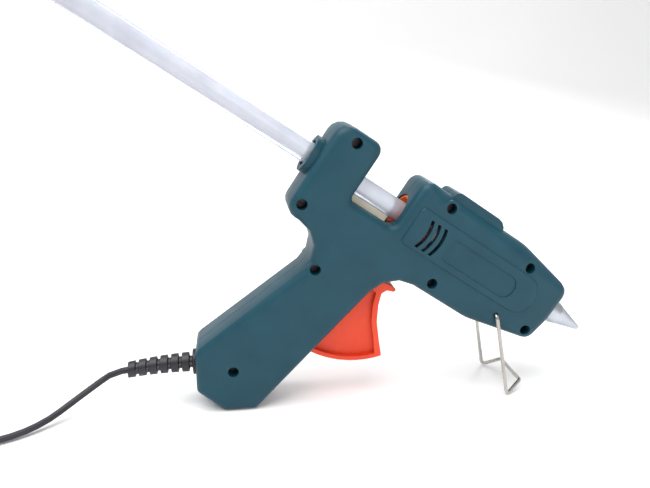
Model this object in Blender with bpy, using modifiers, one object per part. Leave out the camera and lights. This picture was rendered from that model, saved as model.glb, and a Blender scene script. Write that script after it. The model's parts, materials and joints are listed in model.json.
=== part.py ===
"""Hot glue applicator with an open feed window, a sprung trigger, a folding wire stand and a mains cord.

The gun is drawn in its own frame: +X along the glue stick towards the nozzle, +Z up, with the origin on the
stick's axis at the barrel's rear face. An empty tilts that frame, so that the gun stands on the flat of its
heel and on its wire stand. Lengths are in metres.
"""

import math

import bmesh
import bpy
from mathutils import Matrix, Vector

# Glue stick and clearances
STICK_RADIUS = 0.0056
STICK_LENGTH = 0.25
STICK_ENTRY = 0.030
STICK_CLEARANCE = 0.0004
SEAT_GAP = 0.0003
OVERRUN = 0.002

# Housing, seen from the side
HALF_WIDTH = 0.015
WALL = 0.0022
SEAM_GAP = 0.0003
BARREL_LENGTH = 0.1016
BARREL_TOP = 0.0219
BARREL_DROP = 0.0270
NOSE_TOP = 0.0150
NOSE_DROP = 0.0194
WINDOW_LENGTH = 0.0262
WINDOW_FLOOR = 0.0080
TOWER_DEPTH = 0.0248
TOWER_TOP = 0.0229
TOWER_DROP = 0.0293
GRIP_FRONT = 0.0120
GRIP_BACK = 0.0194
GRIP_RAKE_SHARE = 0.187
HEEL_DROP = 0.1247
HEEL_LENGTH = 0.0166
HEEL_CHAMFER_RUN = 0.0134
HEEL_CHAMFER_RISE = 0.0114
REAR_FACE_HEIGHT = 0.0218
REST_TILT = math.radians(33.8)

# Roundings of the side outline and of the outer edges
WEB_FILLET = 0.016
ARCH_FILLET = 0.018
TOWER_FILLET = 0.0080
BARREL_FILLET = 0.0056
NOSE_FILLET = 0.0066
HEEL_FILLET = 0.0032
WINDOW_FILLET = 0.0030
EDGE_ROUND = 0.0044
CROWN_ROUND = 0.0085
HEEL_ROUND = 0.0030

# Raised boss line on the barrel's top
RIDGE_START = 0.0185
RIDGE_END = 0.0500
RIDGE_TOP = 0.0254
RIDGE_HALF_WIDTH = 0.0105
RIDGE_FILLET = 0.0033

# Side panel, its bare label field and the vents
PANEL_START = 0.0060
PANEL_END = 0.0868
PANEL_TOP = 0.0098
PANEL_DROP = 0.0113
PANEL_RISE = 0.0008
PANEL_FRONT_FILLET = 0.0096
PANEL_REAR_FILLET = 0.0022
LABEL_START = 0.0295
LABEL_END = 0.0732
LABEL_TOP = 0.0048
LABEL_DROP = 0.0078
LABEL_DEPTH = 0.0005
VENT_START = 0.0141
VENT_PITCH = 0.0042
VENT_COUNT = 3
VENT_WIDTH = 0.0019
VENT_TOP = 0.0063
VENT_DROP = 0.0093
VENT_BULGE = 0.0016

# Shell screws: places as shares of the barrel's length and of the handle's drop
SCREW_PLACE_SHARES = (
    (-0.390, 0.1363),
    (-0.450, -0.1732),
    (-0.216, -0.3665),
    (-0.273, -0.9046),
    (0.329, -0.1660),
    (0.188, 0.1307),
    (0.727, 0.1059),
    (0.915, -0.1235),
)
RECESS_RADIUS = 0.0028
RECESS_DEPTH = 0.0085
BOSS_RADIUS = 0.0042
LOW_BOSS_RADIUS = 0.0036
SCREW_HEAD_RADIUS = 0.0025
SCREW_HEAD_HEIGHT = 0.0018
SCREW_SHANK_RADIUS = 0.0013
SCREW_REACH = 0.0080
SCREW_SLOT = 0.0007

# Stick inlet on the tower and the hole in the barrel's rear face
COLLAR_RADIUS = 0.0100
COLLAR_REACH = 0.0036
INLET_RADIUS = 0.0071
REAR_HOLE_RADIUS = 0.0097
FRONT_HOLE_RADIUS = 0.0086

# Hot parts
SLEEVE_START = 0.0008
SLEEVE_LENGTH = 0.0197
SLEEVE_BORE = 0.0064
SLEEVE_SOCKET_DEPTH = 0.0070
CHAMBER_INLET_RADIUS = 0.0078
CHAMBER_RADIUS = 0.0086
CHAMBER_LENGTH = 0.0460
CHAMBER_NOSE_LENGTH = 0.0170
CHAMBER_NOSE_RADIUS = 0.0070
CHAMBER_NECK_LENGTH = 0.0070
CHAMBER_FIN_COUNT = 3
CHAMBER_FIN_RISE = 0.0016
CHAMBER_NECK_RADIUS = 0.0050
CHAMBER_BORE_LENGTH = 0.0400
BUSH_LENGTH = 0.0064
NOZZLE_RADIUS = 0.0063
NOZZLE_REACH = 0.0271
NOZZLE_SLEEVE = 0.0096
NOZZLE_TIP_RADIUS = 0.0013
NOZZLE_BORE_RADIUS = 0.0008
NOZZLE_HEX_RADIUS = 0.0068
NOZZLE_HEX_LENGTH = 0.0050
HEATER_LENGTH = 0.0280
HEATER_WIDTH = 0.0100
HEATER_HEIGHT = 0.0032
CLIP_WIDTH = 0.0140
CLIP_THICKNESS = 0.0007
CLAMP_RING_WIRE = 0.0005

# Feed carriage and grip plate
TONGUE_FRONT = 0.0030
TONGUE_HALF_WIDTH = 0.0035
TONGUE_DROP = 0.0092
CARRIAGE_RING_RADIUS = 0.0086
CARRIAGE_RING_LENGTH = 0.0050
CARRIAGE_RING_START = -0.0420
DRIVE_PIN_RADIUS = 0.0016
DRIVE_DROP = 0.0135
DRIVE_LUG_LENGTH = 0.0050
DRIVE_LUG_THICKNESS = 0.0011
GRIP_PLATE_THICKNESS = 0.0022
GRIP_PLATE_GAP = 0.0014
GRIP_PIN_RADIUS = 0.0008
GRIP_EYE_RADIUS = 0.0021
GRIP_PIN_DROP = 0.0115
EAR_LENGTH = 0.0052
CARRIAGE_SLOT_GAP = 0.0009
STROKE_ROOM = 0.0085

# Trigger
PIVOT_BACK = 0.0008
PIVOT_DROP = 0.0365
TRIGGER_RADIUS = 0.0496
TRIGGER_HALF_WIDTH = 0.0080
TRIGGER_RIM = 0.0024
TRIGGER_WEB_DEPTH = 0.0030
TRIGGER_HUB_RADIUS = 0.0048
TRIGGER_PIN_RADIUS = 0.0020
TRIGGER_PIN_HALF_LENGTH = 0.0115
TRIGGER_REAR_ANGLE = math.radians(-102)
TRIGGER_FRONT_ANGLE = math.radians(-40.6)
TRIGGER_STROKE = math.radians(20)
ARM_HALF_WIDTH = 0.0026
ARM_WIDTH = 0.0070
TRIGGER_FACE_SHARES = (
    (0.640, -0.522),
    (0.497, -0.357),
    (0.402, -0.192),
    (0.358, -0.070),
    (0.385, -0.014),
    (0.460, 0.012),
    (0.468, 0.046),
    (0.400, 0.058),
    (0.290, 0.050),
)

# Return spring
SPRING_DROP = 0.0220
SPRING_RADIUS = 0.0021
SPRING_WIRE = 0.0004
SPRING_TURNS = 9
SPRING_POST_BACK = 0.0290
SPRING_POST_RADIUS = 0.0020

# Wire stand
WIRE_RADIUS = 0.0010
STAND_PIVOT_X = 0.0734
STAND_PIVOT_DROP = 0.0168
STAND_HALF_WIDTH = 0.0184
STAND_TOP_HALF_WIDTH = 0.0170
STAND_LEAN = 0.0082
STAND_TOE_RUN = 0.0093
STAND_TOE_RISE = 0.0054
STAND_TOE_HALF_WIDTH = 0.0130
STAND_HOLE_DEPTH = 0.0035

# Strain relief, cord clamp and heater leads
RELIEF_HEIGHT = 0.0222
RELIEF_FLANGE_RADIUS = 0.0067
RELIEF_FLANGE = 0.0020
RELIEF_NECK_RADIUS = 0.0046
RELIEF_BODY_RADIUS = 0.0052
RELIEF_END_RADIUS = 0.0042
RELIEF_LENGTH = 0.0350
RELIEF_DROOP = 0.0026
RELIEF_RIBS = 6
RELIEF_GROOVE_SHARE = 0.74
RELIEF_STUB = 0.0090
CLAMP_INSET = 0.0068
CLAMP_LENGTH = 0.0156
CLAMP_BAR = 0.0050
CLAMP_THICKNESS = 0.0018
CLAMP_SCREW_SPREAD = 0.0050
CLAMP_POST_RADIUS = 0.0026
CLAMP_SHANK_RADIUS = 0.0010
CLAMP_HEAD_RADIUS = 0.0021
CLAMP_SCREW_LENGTH = 0.0060
LEAD_RADIUS = 0.0008
LEAD_SPREAD = 0.0060

# Cord, coil, tie and plug
CORD_RADIUS = 0.0018
CORD_ROUTE = (
    (-0.1105, 0.0009, 0.0166),
    (-0.1222, -0.0045, 0.0104),
    (-0.1295, -0.0095, 0.0068),
    (-0.1375, -0.0165, 0.0037),
    (-0.1470, -0.0240, 0.0022),
    (-0.1580, -0.0295, 0.0018),
    (-0.1690, -0.0317, 0.0018),
    (-0.1850, -0.0317, 0.0018),
)
COIL_CENTRE = (-0.2010, -0.0037)
COIL_MEAN_RADIUS = 0.0230
COIL_PITCH = 0.0050
COIL_LAYERS = 4
COIL_LAYER_RISE = 0.0042
COIL_TURNS = 8
COIL_TURN_POINTS = 24
TAIL_ROUTE = (
    (-0.2125, -0.0319, 0.0156),
    (-0.2225, -0.0308, 0.0138),
    (-0.2325, -0.0275, 0.0108),
    (-0.2415, -0.0232, 0.0083),
)
PLUG_LENGTH = 0.0350
PLUG_HALF_WIDTH = 0.0128
PLUG_THICKNESS = 0.0136
PLUG_NECK_HALF_WIDTH = 0.0050
PLUG_PLACE = (-0.2560, -0.0195)
PLUG_NECK_FILLET = 0.0010
PLUG_WAIST_FILLET = 0.0060
PLUG_FACE_FILLET = 0.0030
PLUG_PIN_RADIUS = 0.0020
PLUG_PIN_LENGTH = 0.0190
PLUG_PIN_SPACING = 0.0186
TIE_WIDTH = 0.0045
TIE_THICKNESS = 0.0008

ARC_STEP = math.radians(30)
ROUND_STEPS = 3
TURN_STEPS = 24
SMALL_STEPS = 12
HEX_STEPS = 6
BORE_STEPS = 8
SPRING_STEPS = 8
ARCH_STEPS = 14
MERGE_DISTANCE = 0.00001


def clear_scene():
    for obj in list(bpy.data.objects):
        bpy.data.objects.remove(obj, do_unlink=True)


def make_collection(name):
    collection = bpy.data.collections.new(name)
    bpy.context.scene.collection.children.link(collection)
    return collection


def make_material(name, colour, roughness, metallic=0.0):
    material = bpy.data.materials.new(name)
    material.use_nodes = True
    shader = material.node_tree.nodes["Principled BSDF"]
    shader.inputs["Base Color"].default_value = (*colour, 1.0)
    shader.inputs["Roughness"].default_value = roughness
    shader.inputs["Metallic"].default_value = metallic
    return material


def add_object(name, mesh, material=None, parent=None, collection=None):
    obj = bpy.data.objects.new(name, mesh)
    (collection or PARTS).objects.link(obj)
    if material:
        mesh.materials.append(material)
    obj.parent = parent
    if collection is CUTTERS:
        obj.hide_render = True
        obj.display_type = "WIRE"
    return obj


def mesh_from(build):
    """A mesh that build(bm) fills, with its faces turned outwards."""
    bm = bmesh.new()
    build(bm)
    bmesh.ops.recalc_face_normals(bm, faces=bm.faces)
    mesh = bpy.data.meshes.new("mesh")
    bm.to_mesh(mesh)
    bm.free()
    return mesh


def along(start, end):
    """The matrix that puts a unit cylinder's middle between two points, with its Z along them."""
    start, end = Vector(start), Vector(end)
    turn = (end - start).to_track_quat("Z", "Y").to_matrix().to_4x4()
    return Matrix.Translation((start + end) / 2) @ turn


def add_cylinder(bm, start, end, radius, end_radius=None, steps=TURN_STEPS):
    length = (Vector(end) - Vector(start)).length
    bmesh.ops.create_cone(
        bm,
        cap_ends=True,
        segments=steps,
        radius1=radius,
        radius2=radius if end_radius is None else end_radius,
        depth=length,
        matrix=along(start, end),
    )


def add_box(bm, low, high):
    size = [b - a for a, b in zip(low, high)]
    middle = [(a + b) / 2 for a, b in zip(low, high)]
    bmesh.ops.create_cube(bm, size=1, matrix=Matrix.Translation(middle) @ Matrix.Diagonal((*size, 1)))


def add_prism(bm, outline, low_y, high_y):
    """An outline of (x, z) points pushed along Y."""
    vertices = [bm.verts.new((x, low_y, z)) for x, z in outline]
    face = bm.faces.new(vertices)
    top = bmesh.ops.extrude_face_region(bm, geom=[face])["geom"]
    moved = [item for item in top if isinstance(item, bmesh.types.BMVert)]
    bmesh.ops.translate(bm, verts=moved, vec=(0, high_y - low_y, 0))


def cutter(name, build):
    return add_object(name, mesh_from(build), parent=GUN, collection=CUTTERS)


def boolean(obj, other, operation="DIFFERENCE", solver="EXACT"):
    modifier = obj.modifiers.new(operation.title(), "BOOLEAN")
    modifier.operation = operation
    modifier.solver = solver
    modifier.object = other


def smooth(obj, angle=math.radians(35)):
    obj.data.shade_smooth()
    obj.data.set_sharp_from_angle(angle=angle)


def bevel(obj, width, segments=2):
    modifier = obj.modifiers.new("Bevel", "BEVEL")
    modifier.width = width
    modifier.segments = segments
    modifier.limit_method = "ANGLE"


def fillet(corners):
    """Corners of (x, z, radius, ...) with each one rounded; values after the radius ride along."""
    points = []
    count = len(corners)
    for index, corner in enumerate(corners):
        here = Vector(corner[:2])
        before = (Vector(corners[index - 1][:2]) - here).normalized()
        after = (Vector(corners[(index + 1) % count][:2]) - here).normalized()
        radius = corner[2]
        half = before.angle(after) / 2
        if radius <= 0 or half > math.radians(88):
            points.append((here.x, here.y, *corner[3:]))
            continue
        reach = radius / math.tan(half)
        centre = here + (before + after).normalized() * radius / math.sin(half)
        start = here + before * reach - centre
        finish = here + after * reach - centre
        sweep = start.angle_signed(finish)
        steps = max(2, math.ceil(abs(sweep) / ARC_STEP))
        for step in range(steps + 1):
            turned = start.copy()
            turned.rotate(Matrix.Rotation(-sweep * step / steps, 2))
            points.append((centre.x + turned.x, centre.y + turned.y, *corner[3:]))
    return points


def gun_direction(angle_from_level):
    """A direction of the standing gun's side view, given in the gun's own frame."""
    angle = angle_from_level + REST_TILT
    return Vector((math.cos(angle), math.sin(angle)))


def heel_points():
    front = Vector((GRIP_FRONT - GRIP_RAKE_SHARE * (HEEL_DROP - BARREL_DROP), -HEEL_DROP))
    back, up = gun_direction(math.pi), gun_direction(math.pi / 2)
    rear = front + back * HEEL_LENGTH
    low = rear + back * HEEL_CHAMFER_RUN + up * HEEL_CHAMFER_RISE
    return front, rear, low, low + up * REAR_FACE_HEIGHT


def housing_corners():
    """Side outline, anticlockwise with the nozzle to the right: x, z, fillet, outer edge rounding."""
    tower_front, tower_rear = -WINDOW_LENGTH, -WINDOW_LENGTH - TOWER_DEPTH
    front, rear, low, high = heel_points()
    return (
        (0, BARREL_TOP, BARREL_FILLET, EDGE_ROUND),
        (0, -WINDOW_FLOOR, WINDOW_FILLET * 1.4, EDGE_ROUND),
        (tower_front, -WINDOW_FLOOR, WINDOW_FILLET, EDGE_ROUND),
        (tower_front, TOWER_TOP, TOWER_FILLET * 0.65, EDGE_ROUND),
        (tower_rear, TOWER_TOP, TOWER_FILLET, EDGE_ROUND),
        (tower_rear, -TOWER_DROP, TOWER_FILLET * 0.8, EDGE_ROUND),
        (-GRIP_BACK, -TOWER_DROP, WEB_FILLET, EDGE_ROUND),
        (*high, HEEL_FILLET * 1.4, HEEL_ROUND),
        (*low, HEEL_FILLET, HEEL_ROUND),
        (*rear, HEEL_FILLET, HEEL_ROUND),
        (*front, HEEL_FILLET, HEEL_ROUND),
        (GRIP_FRONT, -BARREL_DROP, ARCH_FILLET, EDGE_ROUND),
        (BARREL_LENGTH * 0.61, -BARREL_DROP, NOSE_FILLET * 4, EDGE_ROUND),
        (BARREL_LENGTH * 0.975, -NOSE_DROP, NOSE_FILLET * 0.9, EDGE_ROUND),
        (BARREL_LENGTH, -NOSE_DROP * 0.25, NOSE_FILLET * 2, EDGE_ROUND),
        (BARREL_LENGTH, NOSE_TOP, NOSE_FILLET, EDGE_ROUND),
        (BARREL_LENGTH * 0.67, BARREL_TOP, NOSE_FILLET * 5, CROWN_ROUND),
        (BARREL_LENGTH * 0.12, BARREL_TOP, 0, CROWN_ROUND),
    )


def inset(points, amount):
    """Each point of a closed outline moved inwards along its mitre by amount(point)."""
    moved = []
    count = len(points)
    for index, point in enumerate(points):
        here = Vector(point[:2])
        before = (here - Vector(points[index - 1][:2])).normalized()
        after = (Vector(points[(index + 1) % count][:2]) - here).normalized()
        first, second = Vector((-before.y, before.x)), Vector((-after.y, after.x))
        mitre = (first + second) / (1 + first.dot(second))
        moved.append(here + mitre * amount(point))
    return moved


def housing_skin(bm, side):
    """The open outer surface of one half: a loft of the side outline, drawn in towards its flat flank."""
    points = fillet(housing_corners())
    rings = [([SEAM_GAP / 2] * len(points), [Vector(point[:2]) for point in points])]
    for step in range(ROUND_STEPS + 1):
        angle = math.pi / 2 * step / ROUND_STEPS
        moved = inset(points, lambda point: point[2] * (1 - math.cos(angle)))
        depths = [HALF_WIDTH - point[2] * (1 - math.sin(angle)) for point in points]
        rings.append((depths, moved))
    rows = []
    for depths, ring in rings:
        rows.append([bm.verts.new((p.x, side * depth, p.y)) for p, depth in zip(ring, depths)])
    for near, far in zip(rows, rows[1:]):
        for index in range(len(near)):
            following = (index + 1) % len(near)
            face = [near[index], near[following], far[following], far[index]]
            bm.faces.new(face if side < 0 else face[::-1])
    bm.faces.new(rows[-1] if side < 0 else rows[-1][::-1])


def screw_places():
    return [(x * BARREL_LENGTH, z * HEEL_DROP) for x, z in SCREW_PLACE_SHARES]


def boss_radius(index):
    return LOW_BOSS_RADIUS if index == len(SCREW_PLACE_SHARES) - 1 else BOSS_RADIUS


def trigger_pivot():
    return Vector((-PIVOT_BACK, -PIVOT_DROP))


def sector(centre, radius, start, finish, steps=12):
    sweep = [start + (finish - start) * step / steps for step in range(steps + 1)]
    return [centre + radius * Vector((math.cos(angle), math.sin(angle))) for angle in sweep]


def ridge_outline():
    low = BARREL_TOP - WALL * 0.7
    corners = (
        (RIDGE_END + RIDGE_FILLET * 0.4, low, 0),
        (RIDGE_END, RIDGE_TOP, RIDGE_FILLET * 2),
        (RIDGE_START, RIDGE_TOP, RIDGE_FILLET),
        (RIDGE_START - RIDGE_FILLET * 0.3, low, 0),
    )
    return [point[:2] for point in fillet(corners)]


def panel_outline(start, end, top, drop, front_fillet, rear_fillet):
    corners = (
        (start, -drop, rear_fillet),
        (end, -drop, front_fillet),
        (end, top, front_fillet),
        (start, top, rear_fillet),
    )
    return [point[:2] for point in fillet(corners)]


def vent_outline(index):
    """One curved slot that bows towards the nozzle."""
    middle = (VENT_TOP - VENT_DROP) / 2
    half = (VENT_TOP + VENT_DROP) / 2
    shares = [step / 4 - 1 for step in range(9)]
    start = VENT_START + VENT_PITCH * index
    front, rear = [], []
    for share in shares:
        x = start + VENT_BULGE * (1 - share * share)
        front.append((x + VENT_WIDTH / 2, middle + half * share))
        rear.append((x - VENT_WIDTH / 2, middle + half * share))
    return front + rear[::-1]


def clamp_frame():
    """The middle of the cord clamp, the way inwards along the cord and the way across it."""
    inwards = gun_direction(0)
    across = Vector((-inwards.y, inwards.x))
    return relief_mouth() + inwards * (WALL + CLAMP_INSET), inwards, across


def relief_mouth():
    """Where the strain relief meets the outside of the handle's rear face."""
    rear = heel_points()[1]
    up = gun_direction(math.pi / 2)
    return rear + gun_direction(math.pi) * HEEL_CHAMFER_RUN + up * RELIEF_HEIGHT


def add_housing_bosses(bm, side):
    inner = side * SEAM_GAP / 2
    outer = side * (HALF_WIDTH - WALL / 2)
    for index, (x, z) in enumerate(screw_places()):
        add_cylinder(bm, (x, inner, z), (x, outer, z), boss_radius(index), steps=SMALL_STEPS)
    pivot = trigger_pivot()
    start = side * (TRIGGER_HALF_WIDTH + SEAT_GAP)
    ends = (pivot.x, start, pivot.y), (pivot.x, outer, pivot.y)
    add_cylinder(bm, *ends, BOSS_RADIUS, steps=SMALL_STEPS)
    post = (-SPRING_POST_BACK, -SPRING_DROP)
    ends = (post[0], inner, post[1]), (post[0], outer, post[1])
    add_cylinder(bm, *ends, SPRING_POST_RADIUS, steps=SMALL_STEPS)
    stand = (STAND_PIVOT_X, -STAND_PIVOT_DROP)
    depth = side * (HALF_WIDTH - STAND_HOLE_DEPTH - WALL)
    ends = (stand[0], depth, stand[1]), (stand[0], outer, stand[1])
    add_cylinder(bm, *ends, RECESS_RADIUS, steps=SMALL_STEPS)


def add_clamp_posts(bm):
    """Two posts for the clamp's screws."""
    middle, _, across = clamp_frame()
    for way in (-1, 1):
        place = middle + across * CLAMP_SCREW_SPREAD * way
        foot = (place.x, HALF_WIDTH - WALL / 2, place.y)
        add_cylinder(bm, (place.x, -CORD_RADIUS, place.y), foot, CLAMP_POST_RADIUS, steps=SMALL_STEPS)


def add_clamp_saddle(bm):
    """A block between the posts that the cord lies on."""
    middle, inwards, across = clamp_frame()
    corners = [
        middle + inwards * CLAMP_BAR / 2 * a + across * CLAMP_SCREW_SPREAD * b
        for a, b in ((-1, -1), (1, -1), (1, 1), (-1, 1))
    ]
    outline = [tuple(corner) for corner in corners]
    add_prism(bm, outline, CORD_RADIUS + SEAT_GAP, HALF_WIDTH - WALL / 2)


def add_collar(bm, side):
    """Half of the ring round the stick's inlet, behind the tower."""
    rear = -WINDOW_LENGTH - TOWER_DEPTH
    angles = [math.pi * step / ARCH_STEPS - math.pi / 2 for step in range(ARCH_STEPS + 1)]
    arc = [
        (side * (SEAM_GAP / 2 + COLLAR_RADIUS * math.cos(angle)), COLLAR_RADIUS * math.sin(angle))
        for angle in angles
    ]
    rows = []
    for x in (rear - COLLAR_REACH, rear + WALL / 2):
        rows.append([bm.verts.new((x, y, z)) for y, z in arc])
    bm.faces.new(rows[0])
    bm.faces.new(rows[1])
    for index in range(len(angles)):
        following = (index + 1) % len(angles)
        bm.faces.new([rows[0][index], rows[0][following], rows[1][following], rows[1][index]])


def add_floor_slot(bm):
    half = TONGUE_HALF_WIDTH + CARRIAGE_SLOT_GAP
    low = -DRIVE_DROP - DRIVE_PIN_RADIUS - OVERRUN
    add_box(bm, (-WINDOW_LENGTH - WALL - OVERRUN, -half, low), (STROKE_ROOM, half, 0))


def add_trigger_room(bm):
    reach = TRIGGER_RADIUS + SEAT_GAP * 2
    centre = trigger_pivot()
    arc = sector(centre, reach, TRIGGER_REAR_ANGLE - TRIGGER_STROKE, math.radians(17), steps=16)
    half = TRIGGER_HALF_WIDTH + SEAT_GAP
    add_prism(bm, [tuple(centre)] + [tuple(point) for point in arc], -half, half)


def add_recesses(bm):
    """Recesses for the screw heads, in the right half's flank."""
    outer, floor = -HALF_WIDTH - OVERRUN, -HALF_WIDTH + RECESS_DEPTH
    for x, z in screw_places():
        add_cylinder(bm, (x, outer, z), (x, floor, z), RECESS_RADIUS, steps=SMALL_STEPS)


def add_shank_holes(bm, side):
    """Holes from the recesses to the seam on the right, and on into the left half's bosses."""
    start, finish = -HALF_WIDTH + RECESS_DEPTH - WALL / 2, OVERRUN
    if side > 0:
        start, finish = -OVERRUN, SCREW_REACH + OVERRUN / 2
    for x, z in screw_places():
        add_cylinder(bm, (x, start, z), (x, finish, z), SCREW_SHANK_RADIUS + SEAT_GAP, steps=SMALL_STEPS)


def add_pin_holes(bm, side):
    pivot = trigger_pivot()
    reach = TRIGGER_PIN_HALF_LENGTH + SEAT_GAP
    pin = TRIGGER_PIN_RADIUS + SEAT_GAP
    add_cylinder(bm, (pivot.x, 0, pivot.y), (pivot.x, side * reach, pivot.y), pin, steps=SMALL_STEPS)
    start = side * (HALF_WIDTH - STAND_HOLE_DEPTH - SEAT_GAP)
    finish = side * (HALF_WIDTH + OVERRUN)
    place = (STAND_PIVOT_X, -STAND_PIVOT_DROP)
    ends = (place[0], start, place[1]), (place[0], finish, place[1])
    add_cylinder(bm, *ends, WIRE_RADIUS + SEAT_GAP, steps=SMALL_STEPS)


def add_vents(bm, side):
    inner, outer = HALF_WIDTH - WALL - OVERRUN, HALF_WIDTH + PANEL_RISE + OVERRUN
    for index in range(VENT_COUNT):
        add_prism(bm, vent_outline(index), *sorted((side * inner, side * outer)))


def add_relief_hole(bm):
    mouth, inwards = relief_mouth(), gun_direction(0)
    start, finish = mouth - inwards * OVERRUN, mouth + inwards * (WALL + OVERRUN)
    radius = RELIEF_NECK_RADIUS + SEAT_GAP
    add_cylinder(bm, (start.x, 0, start.y), (finish.x, 0, finish.y), radius)


def add_clamp_holes(bm):
    middle, _, across = clamp_frame()
    for way in (-1, 1):
        place = middle + across * CLAMP_SCREW_SPREAD * way
        add_cylinder(
            bm,
            (place.x, -CORD_RADIUS - OVERRUN, place.y),
            (place.x, CLAMP_SCREW_LENGTH, place.y),
            CLAMP_SHANK_RADIUS + SEAT_GAP,
            steps=SMALL_STEPS,
        )


def make_shell(name, side, material):
    shell = add_object(name, bpy.data.meshes.new(name), material, GUN)
    bm = bmesh.new()
    housing_skin(bm, side)
    bm.to_mesh(shell.data)
    bm.free()
    wall = shell.modifiers.new("Wall", "SOLIDIFY")
    wall.thickness = WALL
    wall.offset = -1
    wall.use_even_offset = True
    panel_faces = sorted((side * (HALF_WIDTH - WALL / 2), side * (HALF_WIDTH + PANEL_RISE)))
    fillets = PANEL_FRONT_FILLET, PANEL_REAR_FILLET
    panel = panel_outline(PANEL_START, PANEL_END, PANEL_TOP, PANEL_DROP, *fillets)
    pad = cutter(name + "_panel", lambda bm: add_prism(bm, panel, *panel_faces))
    bevel(pad, PANEL_RISE * 0.6, 1)
    ridge_faces = sorted((side * SEAM_GAP / 2, side * RIDGE_HALF_WIDTH))
    ridge = cutter(name + "_ridge", lambda bm: add_prism(bm, ridge_outline(), *ridge_faces))
    for added in (pad, ridge):
        boolean(shell, added, "UNION")
    boolean(shell, cutter(name + "_bosses", lambda bm: add_housing_bosses(bm, side)), "UNION")
    boolean(shell, cutter(name + "_collar", lambda bm: add_collar(bm, side)), "UNION")
    if side > 0:
        boolean(shell, cutter("clamp_posts", add_clamp_posts), "UNION")
        boolean(shell, cutter("clamp_saddle", add_clamp_saddle), "UNION")
    fillets = PANEL_FRONT_FILLET * 0.6, PANEL_REAR_FILLET * 0.5
    label = panel_outline(LABEL_START, LABEL_END, LABEL_TOP, LABEL_DROP, *fillets)
    panel_face = HALF_WIDTH + PANEL_RISE
    label_faces = sorted((side * (panel_face - LABEL_DEPTH), side * (panel_face + OVERRUN)))
    boolean(shell, cutter(name + "_label", lambda bm: add_prism(bm, label, *label_faces)))
    boolean(shell, cutter(name + "_vents", lambda bm: add_vents(bm, side)))
    for cut in SHARED_CUTS:
        boolean(shell, cut)
    boolean(shell, cutter(name + "_shanks", lambda bm: add_shank_holes(bm, side)))
    boolean(shell, cutter(name + "_pins", lambda bm: add_pin_holes(bm, side)))
    if side > 0:
        boolean(shell, cutter("clamp_holes_in_posts", add_clamp_holes))
    else:
        boolean(shell, cutter("screw_recesses", add_recesses))
    for modifier in shell.modifiers:
        if modifier.type == "BOOLEAN":
            modifier.solver = "MANIFOLD"
    smooth(shell)


def shared_cuts():
    rear_hole = (-OVERRUN, 0, 0), (WALL + OVERRUN * 2, 0, 0)
    front_hole = (BARREL_LENGTH - WALL * 4, 0, 0), (BARREL_LENGTH + OVERRUN, 0, 0)
    return (
        cutter("stick_path", lambda bm: add_stick_path(bm)),
        cutter("floor_slot", add_floor_slot),
        cutter("rear_hole", lambda bm: add_cylinder(bm, *rear_hole, REAR_HOLE_RADIUS)),
        cutter("front_hole", lambda bm: add_cylinder(bm, *front_hole, FRONT_HOLE_RADIUS)),
        cutter("trigger_room", add_trigger_room),
        cutter("relief_hole", add_relief_hole),
    )


def add_stick_path(bm):
    rear = -WINDOW_LENGTH - TOWER_DEPTH - COLLAR_REACH - OVERRUN
    add_cylinder(bm, (rear, 0, 0), (-WINDOW_LENGTH + OVERRUN, 0, 0), INLET_RADIUS)


def make_screw(name, place, head_y, shank_end, head_radius, shank_radius, material):
    """A pan head screw along +Y with a slot across its head."""
    x, z = place
    under_head = head_y + SCREW_HEAD_HEIGHT
    screw = add_object(name, mesh_from(lambda bm: add_cylinder(
        bm, (x, head_y, z), (x, under_head, z), head_radius, steps=SMALL_STEPS
    )), material, GUN)
    shank = cutter(name + "_shank", lambda bm: add_cylinder(
        bm, (x, head_y + SCREW_HEAD_HEIGHT / 2, z), (x, shank_end, z), shank_radius, steps=SMALL_STEPS
    ))
    boolean(screw, shank, "UNION")
    slot_low = (x - head_radius * 2, head_y - OVERRUN, z - SCREW_SLOT / 2)
    slot_high = (x + head_radius * 2, head_y + SCREW_HEAD_HEIGHT * 0.4, z + SCREW_SLOT / 2)
    boolean(screw, cutter(name + "_slot", lambda bm: add_box(bm, slot_low, slot_high)))
    smooth(screw)


def turned(name, profile, material, steps=TURN_STEPS, collection=None):
    """A profile of (x along the gun, radius) points turned about the stick's axis."""
    mesh = bpy.data.meshes.new(name)
    bm = bmesh.new()
    points = [bm.verts.new((radius, 0, x)) for x, radius in profile]
    for first, second in zip(points, points[1:] + points[:1]):
        bm.edges.new((first, second))
    bm.to_mesh(mesh)
    bm.free()
    obj = add_object(name, mesh, material, GUN, collection)
    obj.rotation_euler = (0, math.pi / 2, 0)
    screw = obj.modifiers.new("Turn", "SCREW")
    screw.steps = steps
    screw.render_steps = steps
    screw.use_merge_vertices = True
    screw.merge_threshold = MERGE_DISTANCE
    smooth(obj)
    return obj


def sleeve_front():
    return SLEEVE_START + SLEEVE_LENGTH


def chamber_start():
    return sleeve_front() - SLEEVE_SOCKET_DEPTH + SEAT_GAP


def chamber_shoulder():
    return chamber_start() + SLEEVE_SOCKET_DEPTH


def chamber_end():
    return chamber_shoulder() + CHAMBER_LENGTH + CHAMBER_NOSE_LENGTH


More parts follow.
